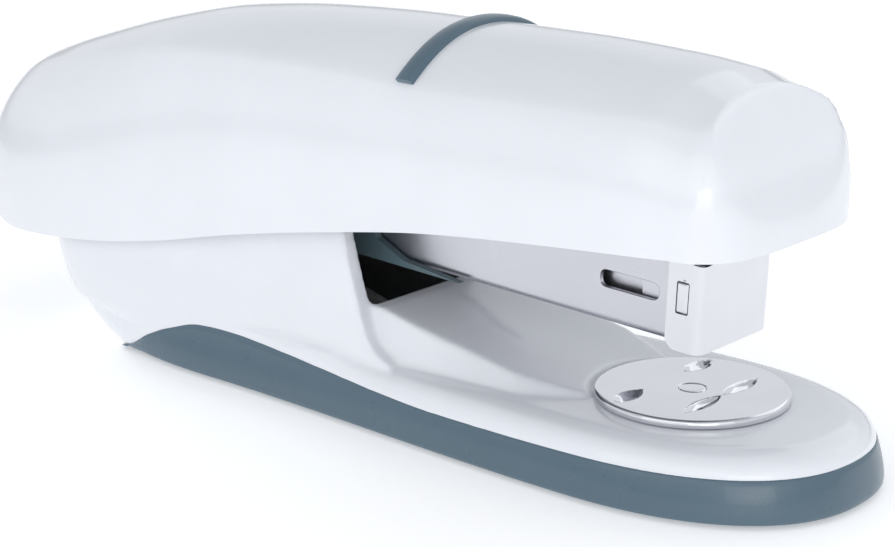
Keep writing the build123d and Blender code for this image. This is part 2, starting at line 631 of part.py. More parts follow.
def pin_clips():
    """E-clips in the grooves at both ends of the hinge pin."""
    clips = []
    for side in (1, -1):
        y0, y1 = sorted((side * 11.66, side * 12.04))
        clip = rod_y(PIN_X, PIN_Z, 3.4, y0, y1) - rod_y(PIN_X, PIN_Z, PIN_R - 0.5, y0 - 1, y1 + 1)
        clip -= block(PIN_X - 1.2, PIN_X + 1.2, y0 - 1, y1 + 1, PIN_Z - 5, PIN_Z)
        clips.append(clip)
    return clips


def return_spring():
    """The leaf on the chassis floor that lifts the magazine off the anvil."""
    path = [(-44.0, 7.3), (-26.0, 7.3), (-12.0, 20.3), (-6.0, 20.6)]
    return strip_plate(path, 0.7, 5.0)


# ---- anvil ----
def groove(x, y, length, width, depth):
    """A clinching groove: a shallow bowl cut by a lying cylinder."""
    radius = (length * length / 4 + depth * depth) / (2 * depth)
    return rod_x(y, ANVIL_TOP + radius - depth, radius, x - width / 2, x + width / 2)


def anvil_plate():
    """The clinching disc: one pair of grooves turns the legs in, the other turns them out."""
    disc = rod_z(ANVIL_X, 0, ANVIL_R, ANVIL_TOP - ANVIL_THICK, ANVIL_TOP)
    disc = chamfer(disc.edges().group_by(Axis.Z)[-1], 0.5)
    for y in (-4.75, 4.75):
        disc -= groove(ANVIL_X + 4.9, y, 9.0, 2.2, 0.8)
    for y in (-8.6, 8.6):
        disc -= groove(ANVIL_X - 4.9, y, 6.6, 2.4, 0.8)
    return disc - rod_z(ANVIL_X, 0, 2.0, 0, 20)


def anvil_rivet():
    head = rod_z(ANVIL_X, 0, 2.0, ANVIL_TOP - ANVIL_THICK, ANVIL_TOP)
    return head + rod_z(ANVIL_X, 0, 1.4, 5.0, ANVIL_TOP - ANVIL_THICK)


def anvil_stem():
    """The lifting post under the anvil, with its push button in the base's floor."""
    stem = rod_z(ANVIL_X, 0, STEM_R - RUNNING, 3.2, 9.8)
    stem += fillet(rod_z(ANVIL_X, 0, 6.0, 1.4, 3.2).edges().group_by(Axis.Z)[0], 0.5)
    return stem - rod_z(ANVIL_X, 0, 1.4 + RUNNING, 4.6, 12)


def anvil_spring():
    """The spring that holds the anvil plate down on its seat."""
    ring = rod_z(ANVIL_X, 0, 5.6, 3.3, 6.5)
    return ring - rod_z(ANVIL_X, 0, 4.6, 3, 7)


NODES = {
    "handle_cover": handle_cover, "accent_strip": accent_strip, "handle_arm": handle_arm,
    "handle_bushes": handle_bushes, "cover_screws": cover_screws, "driver_leaf": driver_leaf,
    "leaf_rivets": leaf_rivets, "driver_blade": driver_blade, "handle_spring": handle_spring,
    "magazine_carrier": magazine_carrier, "lever_pin": lever_pin, "release_lever": release_lever,
    "lever_spring": lever_spring, "magazine_channel": magazine_channel, "nose_plate": nose_plate,
    "nose_tabs": nose_tabs, "staple_rail": staple_rail, "rail_rivets": rail_rivets,
    "rod_bracket": rod_bracket, "guide_rod": guide_rod, "pusher": pusher,
    "pusher_spring": pusher_spring, "base_shell": base_shell, "base_boot": base_boot,
    "rubber_feet": rubber_feet, "base_screws": base_screws, "chassis_bracket": chassis_bracket,
    "chassis_rivets": chassis_rivets, "hinge_pin": hinge_pin, "pin_clips": pin_clips,
    "return_spring": return_spring, "anvil_plate": anvil_plate, "anvil_rivet": anvil_rivet,
    "anvil_stem": anvil_stem, "anvil_spring": anvil_spring,
}


def main():
    os.makedirs("parts", exist_ok=True)
    for name, make in NODES.items():
        shape = make()
        solids = shape if isinstance(shape, list) else shape.solids()
        flat = [s for piece in solids for s in piece.solids()]
        export_step(Compound(flat) if len(flat) > 1 else flat[0], f"parts/{name}.step")


main()
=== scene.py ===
import json
import math

import bmesh
import bpy
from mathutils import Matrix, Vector


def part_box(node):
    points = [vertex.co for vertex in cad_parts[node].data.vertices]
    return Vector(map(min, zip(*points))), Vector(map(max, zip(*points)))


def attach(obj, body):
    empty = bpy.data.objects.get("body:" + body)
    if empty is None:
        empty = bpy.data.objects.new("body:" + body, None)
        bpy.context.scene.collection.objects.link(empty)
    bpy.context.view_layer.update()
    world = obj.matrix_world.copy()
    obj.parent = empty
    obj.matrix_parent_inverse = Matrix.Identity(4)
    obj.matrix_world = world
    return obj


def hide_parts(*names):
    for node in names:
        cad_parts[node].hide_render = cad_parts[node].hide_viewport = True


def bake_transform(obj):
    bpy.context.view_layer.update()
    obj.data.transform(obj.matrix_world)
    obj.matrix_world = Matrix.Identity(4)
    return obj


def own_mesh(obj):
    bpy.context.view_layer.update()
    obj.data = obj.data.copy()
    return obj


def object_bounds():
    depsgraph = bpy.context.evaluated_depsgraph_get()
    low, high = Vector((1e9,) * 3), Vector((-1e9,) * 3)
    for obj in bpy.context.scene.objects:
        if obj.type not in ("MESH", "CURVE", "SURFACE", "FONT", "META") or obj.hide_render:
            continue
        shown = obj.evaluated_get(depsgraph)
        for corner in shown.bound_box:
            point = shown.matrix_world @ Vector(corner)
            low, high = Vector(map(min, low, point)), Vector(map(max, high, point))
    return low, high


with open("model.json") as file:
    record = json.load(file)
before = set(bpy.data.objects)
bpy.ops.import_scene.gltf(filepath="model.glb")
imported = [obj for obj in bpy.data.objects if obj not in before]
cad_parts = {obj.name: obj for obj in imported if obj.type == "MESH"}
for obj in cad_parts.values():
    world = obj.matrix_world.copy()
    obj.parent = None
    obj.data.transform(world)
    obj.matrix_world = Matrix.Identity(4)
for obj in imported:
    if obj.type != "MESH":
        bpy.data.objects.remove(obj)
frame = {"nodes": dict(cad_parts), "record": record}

# A manual desk stapler on a pale floor. Shapes are worked out in millimetres in the CAD's frame
# (+X towards the nose, +Z up, origin on the table) and turned into metres when a mesh is made.
MM = 0.001
CAD_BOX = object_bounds()
JOINTS = {joint["name"]: joint for joint in frame["record"]["behaviour"]["joints"]}


def in_mm(point):
    return [c / MM for c in point]


PIN_X, _, PIN_Z = in_mm(JOINTS["magazine_close"]["pos_m"])
ANVIL_X = in_mm(JOINTS["anvil_turn"]["pos_m"])[0]
REARWARDS = Vector(JOINTS["drawer_slide"]["axis"])
MAGAZINE_TILT = math.asin(REARWARDS.z)
BASE_TIP_X = CAD_BOX[1][0] / MM
COVER_REAR_X = CAD_BOX[0][0] / MM


# ---- numbers and outlines ----
def curve(points):
    """A smooth function through (x, value) points, level beyond both ends."""
    xs = [p[0] for p in points]
    ys = [p[1] for p in points]
    steps = [(ys[i + 1] - ys[i]) / (xs[i + 1] - xs[i]) for i in range(len(xs) - 1)]
    slopes = [steps[0]]
    for before, after in zip(steps, steps[1:]):
        turns = before * after <= 0
        slopes.append(0.0 if turns else 2 * before * after / (before + after))
    slopes.append(steps[-1])

    def value(x):
        if x <= xs[0]:
            return ys[0]
        if x >= xs[-1]:
            return ys[-1]
        i = max(k for k in range(len(xs) - 1) if xs[k] <= x)
        h = xs[i + 1] - xs[i]
        t = (x - xs[i]) / h
        a = (1 + 2 * t) * (1 - t) ** 2 * ys[i] + t * t * (3 - 2 * t) * ys[i + 1]
        b = t * (1 - t) ** 2 * slopes[i] - t * t * (1 - t) * slopes[i + 1]
        return a + h * b

    return value


def smooth_step(t):
    t = min(max(t, 0.0), 1.0)
    return t * t * (3 - 2 * t)


def spread(a, b, count):
    """count + 1 evenly spaced numbers from a to b."""
    return [a + (b - a) * i / count for i in range(count + 1)]


def rounded(points, radius, steps=5):
    """A closed outline with its corners rounded. radius is one number, or one for each corner."""
    radii = radius if isinstance(radius, (list, tuple)) else [radius] * len(points)
    result = []
    for i, r in enumerate(radii):
        here = Vector(points[i])
        back = (Vector(points[i - 1]) - here)
        on = (Vector(points[(i + 1) % len(points)]) - here)
        if r <= 0:
            result.append(tuple(here))
            continue
        half_angle = back.angle(on) / 2
        reach = min(r / math.tan(half_angle), 0.49 * back.length, 0.49 * on.length)
        a, b = here + back.normalized() * reach, here + on.normalized() * reach
        for t in spread(0, 1, steps):
            result.append(tuple((1 - t) ** 2 * a + 2 * t * (1 - t) * here + t * t * b))
    return result


# ---- meshes ----
def build(name, points, faces, closed=True):
    """A smooth-shaded mesh object from points in millimetres."""
    mesh = bpy.data.meshes.new(name)
    mesh.from_pydata([[c * MM for c in p] for p in points], [], faces)
    work = bmesh.new()
    work.from_mesh(mesh)
    bmesh.ops.remove_doubles(work, verts=work.verts, dist=1e-7)
    bmesh.ops.recalc_face_normals(work, faces=work.faces)
    if not closed:
        middle = sum((v.co for v in work.verts), Vector()) / len(work.verts)
        lean = sum(f.normal.dot(f.calc_center_median() - middle) * f.calc_area()
                   for f in work.faces)
        if lean < 0:
            bmesh.ops.reverse_faces(work, faces=work.faces)
    work.to_mesh(mesh)
    work.free()
    for polygon in mesh.polygons:
        polygon.use_smooth = True
    obj = bpy.data.objects.new(name, mesh)
    bpy.context.collection.objects.link(obj)
    return obj


def grid_faces(rows, columns, ring=False, start=0):
    """Four-sided faces between rows of points."""
    faces = []
    for r in range(rows - 1):
        for c in range(columns if ring else columns - 1):
            a = start + r * columns + c
            b = start + r * columns + (c + 1) % columns
            faces.append((a, b, b + columns, a + columns))
    return faces


def lofted(name, rings):
    """A closed solid through rings of points, with flat ends."""
    count = len(rings[0])
    points = [p for ring in rings for p in ring]
    last = len(points) - count
    faces = grid_faces(len(rings), count, ring=True)
    faces += [tuple(range(count))[::-1], tuple(range(last, last + count))]
    return build(name, points, faces)


def prism(name, outline, place, a, b):
    """An outline of (u, v) pushed from depth a to depth b. place turns (u, v, depth) into a point."""
    return lofted(name, [[place(u, v, w) for u, v in outline] for w in (a, b)])


def across(u, v, w):
    """An outline in the XZ plane, pushed along Y."""
    return (u, w, v)


def upward(u, v, w):
    """An outline in the XY plane, pushed along Z."""
    return (u, v, w)


def in_magazine(x, y, z):
    """A point of the magazine's own frame: origin on the pin, x towards the nose, z up."""
    c, s = math.cos(MAGAZINE_TILT), math.sin(MAGAZINE_TILT)
    return (PIN_X + x * c + z * s, y, PIN_Z - x * s + z * c)


def magazine_across(u, v, w):
    return in_magazine(u, w, v)


def circle(x, y, r, count=40):
    return [(x + r * math.cos(a), y + r * math.sin(a))
            for a in spread(0, 2 * math.pi, count)[:-1]]


def rectangle(x0, x1, y0, y1):
    return [(x0, y0), (x1, y0), (x1, y1), (x0, y1)]


def turned(name, profile, x, y, count=64):
    """A closed profile of (radius, z), turned about an upright axis at x, y."""
    rings = [[(x + r * math.cos(a), y + r * math.sin(a), z) for r, z in profile]
             for a in spread(0, 2 * math.pi, count)[:-1]]
    columns = len(profile)
    points = [p for ring in rings for p in ring]
    faces = []
    for i in range(count):
        for k in range(columns):
            a, b = i * columns + k, i * columns + (k + 1) % columns
            c, d = ((i + 1) % count) * columns, (k + 1) % columns
            faces.append((a, b, c + d, c + k))
    return build(name, points, faces)


def baked(obj):
    """obj, with its modifiers made part of its mesh."""
    bpy.context.view_layer.update()
    graph = bpy.context.evaluated_depsgraph_get()
    mesh = bpy.data.meshes.new_from_object(obj.evaluated_get(graph))
    obj.modifiers.clear()
    obj.data = mesh
    return obj


def cut(obj, *cutters):
    """obj less the cutters, which are used up."""
    for cutter in cutters:
        change = obj.modifiers.new("cut", "BOOLEAN")
        change.operation = "DIFFERENCE"
        change.solver = "EXACT"
        change.object = cutter
    baked(obj)
    for cutter in cutters:
        bpy.data.objects.remove(cutter)
    return obj


def joined(name, *parts):
    """One mesh object of several."""
    work = bmesh.new()
    for part in parts:
        work.from_mesh(part.data)
    mesh = bpy.data.meshes.new(name)
    work.to_mesh(mesh)
    work.free()
    for part in parts:
        bpy.data.objects.remove(part)
    obj = bpy.data.objects.new(name, mesh)
    bpy.context.collection.objects.link(obj)
    return obj


def edged(obj, width, angle, segments=2):
    """Rounds an object's sharp edges by width millimetres, and shades them as moulded or pressed."""
    for polygon in obj.data.polygons:
        polygon.use_smooth = True
    change = obj.modifiers.new("edges", "BEVEL")
    change.width = width * MM
    change.segments = segments
    change.limit_method = "ANGLE"
    change.angle_limit = math.radians(angle)
    change.harden_normals = True
    change.use_clamp_overlap = True
    return obj


def moulded(obj, voxel, passes):
    """One skin over overlapping solids, smoothed so that its edges and corners are rounded."""
    skin = obj.modifiers.new("skin", "REMESH")
    skin.mode = "VOXEL"
    skin.voxel_size = voxel * MM
    skin.use_smooth_shade = True
    soft = obj.modifiers.new("soft", "SMOOTH")
    soft.factor = 0.5
    soft.iterations = passes
    return baked(obj)


def thick(obj, thickness):
    """Gives an open skin a wall, on its inner side."""
    change = obj.modifiers.new("wall", "SOLIDIFY")
    change.thickness = thickness * MM
    change.offset = -1
    return obj


def tube(name, path, radius, sides=8):
    """A wire along a path of points."""
    points, count = [], len(path)
    centres = [Vector(p) for p in path]
    side = None
    for i, centre in enumerate(centres):
        ahead = (centres[min(i + 1, count - 1)] - centres[max(i - 1, 0)]).normalized()
        if side is None:
            side = ahead.orthogonal().normalized()
        side = (side - ahead * side.dot(ahead)).normalized()
        other = ahead.cross(side)
        for a in spread(0, 2 * math.pi, sides)[:-1]:
            points.append(tuple(centre + radius * (math.cos(a) * side + math.sin(a) * other)))
    faces = grid_faces(count, sides, ring=True)
    last = (count - 1) * sides
    faces += [tuple(range(sides))[::-1], tuple(range(last, last + sides))]
    return build(name, points, faces)


def coil(name, place, radius, wire, a, b, turns, steps=14):
    """A wound spring between depths a and b, its end turns closed up."""
    path = []
    total = turns * steps
    for i in range(total + 1):
        share = i / total
        angle = 2 * math.pi * turns * share
        flat = 1.2 / turns
        depth = smooth_step(share) if turns < 5 else (
            min(max((share - flat * 0.6) / (1 - 1.2 * flat), 0), 1))
        path.append(place(radius * math.cos(angle), radius * math.sin(angle),
                          a + wire + (b - a - 2 * wire) * depth))
    return tube(name, path, wire)


# ---- materials ----
class Nodes:
    """A short way to write a material's node tree."""

    def __init__(self, name):
        self.material = bpy.data.materials.new(name)
        self.material.use_nodes = True
        self.tree = self.material.node_tree
        self.shader = self.tree.nodes["Principled BSDF"]
        self.place = self.add("ShaderNodeTexCoord").outputs["Object"]

    def add(self, kind, **settings):
        node = self.tree.nodes.new(kind)
        for key, value in settings.items():
            setattr(node, key, value)
        return node

    def link(self, out, to):
        self.tree.links.new(out, to)

    def noise(self, scale, detail=3.0, stretch=(1, 1, 1), rough=0.55):
        """Noise in the object's own space. scale is in features per metre."""
        mapping = self.add("ShaderNodeMapping")
        mapping.inputs["Scale"].default_value = stretch
        self.link(self.place, mapping.inputs["Vector"])
        node = self.add("ShaderNodeTexNoise")
        node.inputs["Scale"].default_value = scale
        node.inputs["Detail"].default_value = detail
        node.inputs["Roughness"].default_value = rough
        self.link(mapping.outputs["Vector"], node.inputs["Vector"])
        return node.outputs["Fac"]

    def between(self, fac, low, high, start=0.3, end=0.7):
        """A number that goes from low to high as fac goes from start to end."""
        node = self.add("ShaderNodeMapRange")
        for key, value in (("From Min", start), ("From Max", end), ("To Min", low), ("To Max", high)):
            node.inputs[key].default_value = value
        self.link(fac, node.inputs["Value"])
        return node.outputs["Result"]

    def mix(self, fac, a, b):
        """A colour between a and b."""
        node = self.add("ShaderNodeMix", data_type="RGBA")
        self.link(fac, node.inputs["Factor"])
        for key, value in (("A", a), ("B", b)):
            socket = [s for s in node.inputs if s.name == key and s.type == "RGBA"][0]
            if isinstance(value, tuple):
                socket.default_value = (*value, 1)
            else:
                self.link(value, socket)
        return [s for s in node.outputs if s.type == "RGBA"][0]

    def edges(self, start, end):
        """How far a place is on an outer edge, from 0 to 1."""
        point = self.add("ShaderNodeNewGeometry").outputs["Pointiness"]
        return self.between(point, 0.0, 1.0, start, end)

    def bump(self, *layers):
        """Bumps of (height, depth in metres), each on top of the last."""
        normal = None
        for height, depth in layers:
            node = self.add("ShaderNodeBump")
            node.inputs["Distance"].default_value = depth
            node.inputs["Strength"].default_value = 1.0
            self.link(height, node.inputs["Height"])
            if normal:
                self.link(normal, node.inputs["Normal"])
            normal = node.outputs["Normal"]
        self.link(normal, self.shader.inputs["Normal"])

    def set(self, **values):
        for key, value in values.items():
            socket = self.shader.inputs[key.replace("_", " ").title().replace("Ior", "IOR")]
            if hasattr(value, "links"):
                self.link(value, socket)
            else:
                socket.default_value = (*value, 1) if isinstance(value, tuple) else value


def shaded(colour, factor):
    return tuple(c * factor for c in colour)


def plastic(name, colour, rough, peel, grain, coat=0.0, wear=1.06):
    """Moulded plastic: slight orange peel, fine grain, dust and rubbed edges."""
    n = Nodes(name)
    broad = n.noise(55, 4)
    fine = n.noise(2600, 3)
    worn = n.edges(0.52, 0.60)
    base = n.mix(n.between(broad, 0, 1, 0.35, 0.65), shaded(colour, 0.975), colour)
    base = n.mix(n.between(worn, 0, 0.35, 0, 1), base, tuple(min(c * wear, 1) for c in colour))
    n.set(base_color=base, roughness=n.between(n.noise(240, 5), rough * 0.85, rough * 1.18),
          coat_weight=coat, coat_roughness=0.06)
    n.bump((n.noise(130, 2), peel), (fine, grain))
    return n.material


def metal(name, colour, rough, stretch, brush, scratch, tint):
    """Pressed or plated metal: a brushed direction, uneven polish and fine scratches."""
    n = Nodes(name)
    grain = n.noise(2200, 4, stretch)
    cloud = n.noise(120, 5)
    base = n.mix(n.between(cloud, 0, 1, 0.3, 0.7), shaded(colour, tint), colour)
    n.set(base_color=base, metallic=1.0,
          roughness=n.between(n.noise(90, 4), rough * 0.9, rough * 1.12))
    n.bump((grain, brush), (n.noise(900, 8, rough=0.75), scratch))
    return n.material


MATERIALS = {
    "shell_white": plastic("gloss_white_plastic", (0.83, 0.845, 0.885), rough=0.20, peel=4e-6,
                           grain=4e-7, coat=0.5),
    "trim_slate": plastic("satin_slate_plastic", (0.082, 0.136, 0.178), rough=0.30, peel=3e-6,
                          grain=2e-6, coat=0.2, wear=1.5),
    "carrier_teal": plastic("satin_teal_plastic", (0.09, 0.14, 0.16), rough=0.40, peel=3e-6,
                            grain=3e-6, wear=1.5),
    "satin_nickel": metal("satin_nickel", (0.63, 0.63, 0.67), rough=0.30, stretch=(0.04, 1, 1),
                          brush=4e-7, scratch=0.0, tint=0.97),
    "bright_chrome": metal("bright_nickel_chrome", (0.75, 0.75, 0.78), rough=0.12,
                           stretch=(1, 1, 1), brush=2e-7, scratch=2e-7, tint=0.96),
    "zinc_steel": metal("zinc_plated_steel", (0.66, 0.63, 0.60), rough=0.46, stretch=(0.2, 1, 1),
                        brush=2e-6, scratch=1e-6, tint=0.8),
    "spring_steel": metal("oiled_spring_steel", (0.30, 0.30, 0.31), rough=0.32,
                          stretch=(0.1, 1, 1), brush=1e-6, scratch=6e-7, tint=0.75),
    "bush_plastic": plastic("black_plastic", (0.022, 0.022, 0.025), rough=0.48, peel=3e-6,
                            grain=4e-6, wear=1.8),
    "foot_rubber": plastic("matt_rubber", (0.02, 0.02, 0.022), rough=0.8, peel=6e-6,
                           grain=1.2e-5, wear=1.3),
}


def painted(obj, slot):
    obj.data.materials.clear()
    obj.data.materials.append(MATERIALS[slot])
    return obj


def piece(obj, slot, body, *nodes):
    """obj gets its finish, rides on its body and stands for the CAD nodes it replaces."""
    painted(obj, slot)
    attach(obj, body)
    if nodes:
        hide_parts(*nodes)
    return obj


# ---- top cover ----
CROWN = curve([(-85.5, 33), (-84.8, 36), (-83, 39.2), (-79, 42.2), (-72, 45.2), (-60, 49.1),
               (-45, 53.3), (-30, 56.4), (-12, 58.2), (8, 59), (35, 59.2), (52, 58.6),
               (62, 57.4), (69.2, 55.2)])
RIM = curve([(-85.5, 27), (-84.8, 23.6), (-83, 20.5), (-79, 18), (-70, 16.2), (-60, 16.8),
             (-45, 18.6), (-32, 21), (-15, 25), (5, 29), (25, 32.3), (45, 34.3), (60, 35.4),
             (69.2, 35.8)])
RIM_HALF = curve([(-85.5, 5), (-84.8, 8.6), (-83, 12.2), (-79, 15.4), (-70, 18.3), (-60, 19.6),
                  (-45, 20.3), (0, 20.6), (45, 20.5), (57, 20.3), (64, 19.7), (69.2, 18.9)])
CREASE_HALF = curve([(-85.5, 2.5), (-83, 4), (-79, 5), (-72, 7), (-63, 9.8), (-50, 12.6),
                     (-30, 15), (-5, 16.5), (25, 17.2), (50, 17), (62, 16), (69.2, 14.5)])
CREASE_DROP = curve([(-85.5, 0.5), (-79, 1.3), (-72, 2), (-63, 2.7), (-50, 3.7), (-30, 4.8),
                     (-5, 5.7), (25, 6.6), (50, 5.6), (62, 4.2), (69.2, 3.4)])
COVER_WALL = 1.8
SHOULDER_SHARE, SIDE_BULGE = 0.35, 1.0      # where the side's curve is pulled out, and how far
CROWN_POWER = 2.2           # how flat the crown is between its creases
COVER_FRONT_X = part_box("handle_cover")[1][0] / MM
FACE_TOP_X = 66.6           # where the crown turns down into the front face
FACE_LEAN = curve([(35, 0.0), (46.5, 3.2), (56.2, COVER_FRONT_X - FACE_TOP_X)])
FACE_FILLET = 0.7           # the rounding between the front face and the rest
FACE_SOFT = 1.2             # how gently its lean and its turn run into each other
FACE_RUN_IN = 4.5           # from the last plain section to the front face
TAIL_START, TAIL_RUN = 0.3, 14.0    # the closely spaced sections behind the rear end
SIDE_STEPS, TOP_STEPS = 18, 24


def cover_arc(x):
    """The cover's cross-section at x, as (y, z) from one rim over the crown to the other rim."""
    x = min(x, FACE_TOP_X)
    top, bottom, half = CROWN(x), RIM(x), RIM_HALF(x)
    crease, drop = CREASE_HALF(x), CREASE_DROP(x)
    crease_z = top - drop
    shoulder_z = crease_z - SHOULDER_SHARE * (crease_z - bottom)
    side = []
    for t in spread(1, 0, SIDE_STEPS):
        a, b, c = (1 - t) ** 2, 2 * t * (1 - t), t * t
        side.append((a * crease + b * (half + SIDE_BULGE) + c * half,
                     a * crease_z + b * shoulder_z + c * bottom))
    upper = [(crease * u, top - drop * abs(u) ** CROWN_POWER) for u in spread(1, -1, TOP_STEPS)[1:-1]]
    arc = side + upper + [(-y, z) for y, z in reversed(side)]
    eased = list(arc)
    for i in range(1, len(arc) - 1):
        if i not in (SIDE_STEPS, len(arc) - 1 - SIDE_STEPS):
            eased[i] = tuple((arc[i - 1][k] + 2 * arc[i][k] + arc[i + 1][k]) / 4 for k in (0, 1))
    return eased


# the section's half-width at each height, where the front face turns into the sides
FACE_HALF = curve([(z, y) for y, z in cover_arc(FACE_TOP_X)[:SIDE_STEPS + TOP_STEPS // 2 + 1]])


def face_x(y, z):
    """The front face: it leans back towards its top and curves round at both sides."""
    lean = FACE_LEAN(z)
    share = abs(y / max(FACE_HALF(z), 0.5))
    turn = (COVER_FRONT_X - FACE_TOP_X) * (1 - math.sqrt(max(1 - share ** 3, 0)))
    blend = max(FACE_SOFT - abs(lean - turn), 0.0) / FACE_SOFT
    return COVER_FRONT_X - max(lean, turn) - blend * blend * FACE_SOFT / 4


def inset_arc(arc, depth):
    """The arc moved inwards, its two ends kept on the rim's level."""
    result = []
    for i, here in enumerate(arc):
        before, after = arc[max(i - 1, 0)], arc[min(i + 1, len(arc) - 1)]
        along = Vector((after[0] - before[0], after[1] - before[1])).normalized()
        inwards = Vector((-along.y, along.x))
        moved = Vector(here) + depth * inwards
        if i in (0, len(arc) - 1):
            moved = Vector((here[0] - math.copysign(depth, here[0]), here[1]))
        result.append(tuple(moved))
    return result


def face_patch(arc):
    """Rows of points that fill the front face inside the arc, from the rim upwards."""
    right = arc[:SIDE_STEPS + 1]
    left = arc[::-1][:SIDE_STEPS + 1]
    top = arc[SIDE_STEPS:SIDE_STEPS + TOP_STEPS + 1]
    rows = []
    for j, v in enumerate(spread(0, 1, SIDE_STEPS)):
        row = []
        for k, u in enumerate(spread(0, 1, TOP_STEPS)):
            y, z = [(1 - u) * right[j][i] + u * left[j][i]
                    + (1 - v) * ((1 - u) * right[0][i] + u * left[0][i]) + v * top[k][i]
                    - (1 - u) * (1 - v) * right[0][i] - u * (1 - v) * left[0][i]
                    - (1 - u) * v * top[0][i] - u * v * top[-1][i] for i in (0, 1)]
            row.append((face_x(y, z), y, z))
        rows.append(row)
    return rows


def make_cover():
    """The white top: a rounded tail, crowned sections and the leaning front face."""
    rows = []
    tail = [(0.0, 0.0), (0.35, 0.01), (0.65, 0.05), (0.85, 0.13), (0.95, 0.22)]
    end = cover_arc(COVER_REAR_X + TAIL_START)
    middle_z = (CROWN(COVER_REAR_X) + RIM(COVER_REAR_X)) / 2
    for scale, forward in tail:
        rows.append([(COVER_REAR_X + forward, y * scale, middle_z + (z - middle_z) * scale)
                     for y, z in end])
    stations = [COVER_REAR_X + TAIL_START + TAIL_RUN * t ** 2.2 for t in spread(0, 1, 22)]
    stations += spread(stations[-1], FACE_TOP_X - FACE_RUN_IN, 84)[1:]
    for x in stations:
        rows.append([(x, y, z) for y, z in cover_arc(x)])
    arc = cover_arc(FACE_TOP_X)
    for share, depth in ((1.0, 0.0), (0.62, 0.09), (0.29, 0.29), (0.09, 0.62), (0.0, 1.0)):
        ring = inset_arc(arc, depth * FACE_FILLET)
        rows.append([(face_x(y, z) - share * FACE_FILLET, y, z) for y, z in ring])
    columns = len(rows[0])
    points = [p for row in rows for p in row]
    faces = grid_faces(len(rows), columns)
    patch = face_patch([(y, z) for _, y, z in rows[-1]])
    faces += grid_faces(len(patch), len(patch[0]), start=len(points))
    points += [p for row in patch for p in row]
    cover = build("cover_shell", points, faces, closed=False)
    thick(cover, COVER_WALL)
    edged(cover, 0.25, angle=60)
    return piece(cover, "shell_white", "handle", "handle_cover")


def make_strip():
    """The raised arch of trim over the cover, between the creases."""
    x0, x1 = (corner[0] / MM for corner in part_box("accent_strip"))
    profile = [(0.0, -0.8), (0.0, 0.55), (0.06, 0.78), (0.18, 0.92), (0.5, 0.98), (0.82, 0.92),
               (0.94, 0.78), (1.0, 0.55), (1.0, -0.8)]
    rows = []
    for share, raised in profile:
        x = x0 + share * (x1 - x0)
        arc = cover_arc(x)[SIDE_STEPS - 1:SIDE_STEPS + TOP_STEPS + 2]
        rows.append([(x, y, z) for y, z in inset_arc(arc, -raised)][1:-1])
    strip = lofted("accent_strip_arch", [list(ring) for ring in zip(*rows)])
    edged(strip, 0.12, angle=50)
    return piece(strip, "trim_slate", "handle", "accent_strip")


# ---- base ----
FOOT_Z = 0.6
DECK_FLAT = 9.9
FRONT_CENTRE_X, REAR_CENTRE_X = 51.3, -20.0
BASE_HALF_FRONT, BASE_HALF_REAR = 23.4, 20.6
FRONT_POWER, REAR_POWER = 2.3, 2.4      # how square the two ends are from above
HEEL_X = curve([(0, -50), (1, -58.5), (5, -66), (10, -68.3), (17, -69.2), (34, -69.5)])
# how far the wall leans in at each height, in front of LEAN_BLEND and behind it
LEAN_IN = curve([(0, 0), (2, 0.15), (6.8, 1.3), (8.4, 2.1), (9.4, 3.4), (9.9, 5.2)])
REAR_LEAN = curve([(0, 0), (2, 0.15), (6, 1.1), (10, 1.9), (12, 2.2)])
LEAN_BLEND = (2, 18)
OUTLINE_STEPS = 170         # along one side of the base
HEEL_LEAN = 0.4             # the share of the lean that the heel takes
BAND_TOP = curve([(-50, 0.1), (-43, 0.7), (-35.5, 4.5), (-29.3, 7.1), (-24.5, 8.4),
                  (-19, 8.75), (-6.5, 8.1), (5, 7.3), (15.5, 6.6), (26, 6.25), (40, 6.35),
                  (58, 6.6), (85.5, 6.85)])
BOOT_REAR_X = -44.5
RIM_SILL = 1.6              # the rim's underside, out of sight inside the boot
BUTTON_WELL_R, FOOT_WELL_R, SCREW_WELL_R = 6.4, 4.9, 3.3
PEDESTAL_HALF = curve([(6, 19.3), (8, 19.0), (10, 18.7), (13, 18.2), (17, 17.6), (22, 17.4),
                       (34, 16.6)])
PEDESTAL_FRONT = curve([(5, 16.5), (10, 16.5), (11.6, 13.2), (14, 11), (18.5, 8.8), (25, 6.8),
                        (31, 5.2)])
PEDESTAL_TOP = curve([(-75, 24), (-45, 28.5), (-20, 32), (2, 32.6), (5.2, 31)])
PEDESTAL_MIDDLE_X = curve([(6, -20), (16, -30)])
PEDESTAL_POWER = curve([(6, 3.0), (16, 3.6)])
TOWER_FOOT = 6              # where the pedestal starts, inside the rim
LEAN_TOP, LEAN_FADE = 6.8, 8    # the pedestal leans as the rim does below this, then less and less
CHEEK = 2.2                 # wall of the two cheeks
CHEEK_TOP = 34
DECK_CORNER_R = 5
NOTCH_HALF, NOTCH_Z = 11, 20.5      # the gap in the heel for the release lever's thumb tab
WELL_POWER, WELL_MIDDLE_X = 4.0, -30.0
SEAT_R = 14.8               # the flat round the anvil
SKIN_VOXEL, SKIN_PASSES = 0.42, 8
WELL_LEVELS = ((11, -63.5), (5, -54.5))     # floor height and rear end of each step of the well
WELL_FRONT_X = 9.4
DECK_LOW, DECK_HIGH = 9.0, 18.0
DECK_LOW_PLAN = ((9.5, 17.4), (21, 17.0), (39, 16.4), (47, 12), (50, 4))
DECK_HIGH_PLAN = ((9.5, 14.7), (17, 13.9), (30, 9.5), (40, 4), (46, 1))
DECK_LID = [(0, 17.5), (9.5, 17.4), (12, 17.2), (23, 14.7), (36, 12.3), (43, 11.0), (50, 9.9),
            (54, 9.0), (60, 9.0), (60, 40), (0, 40)]


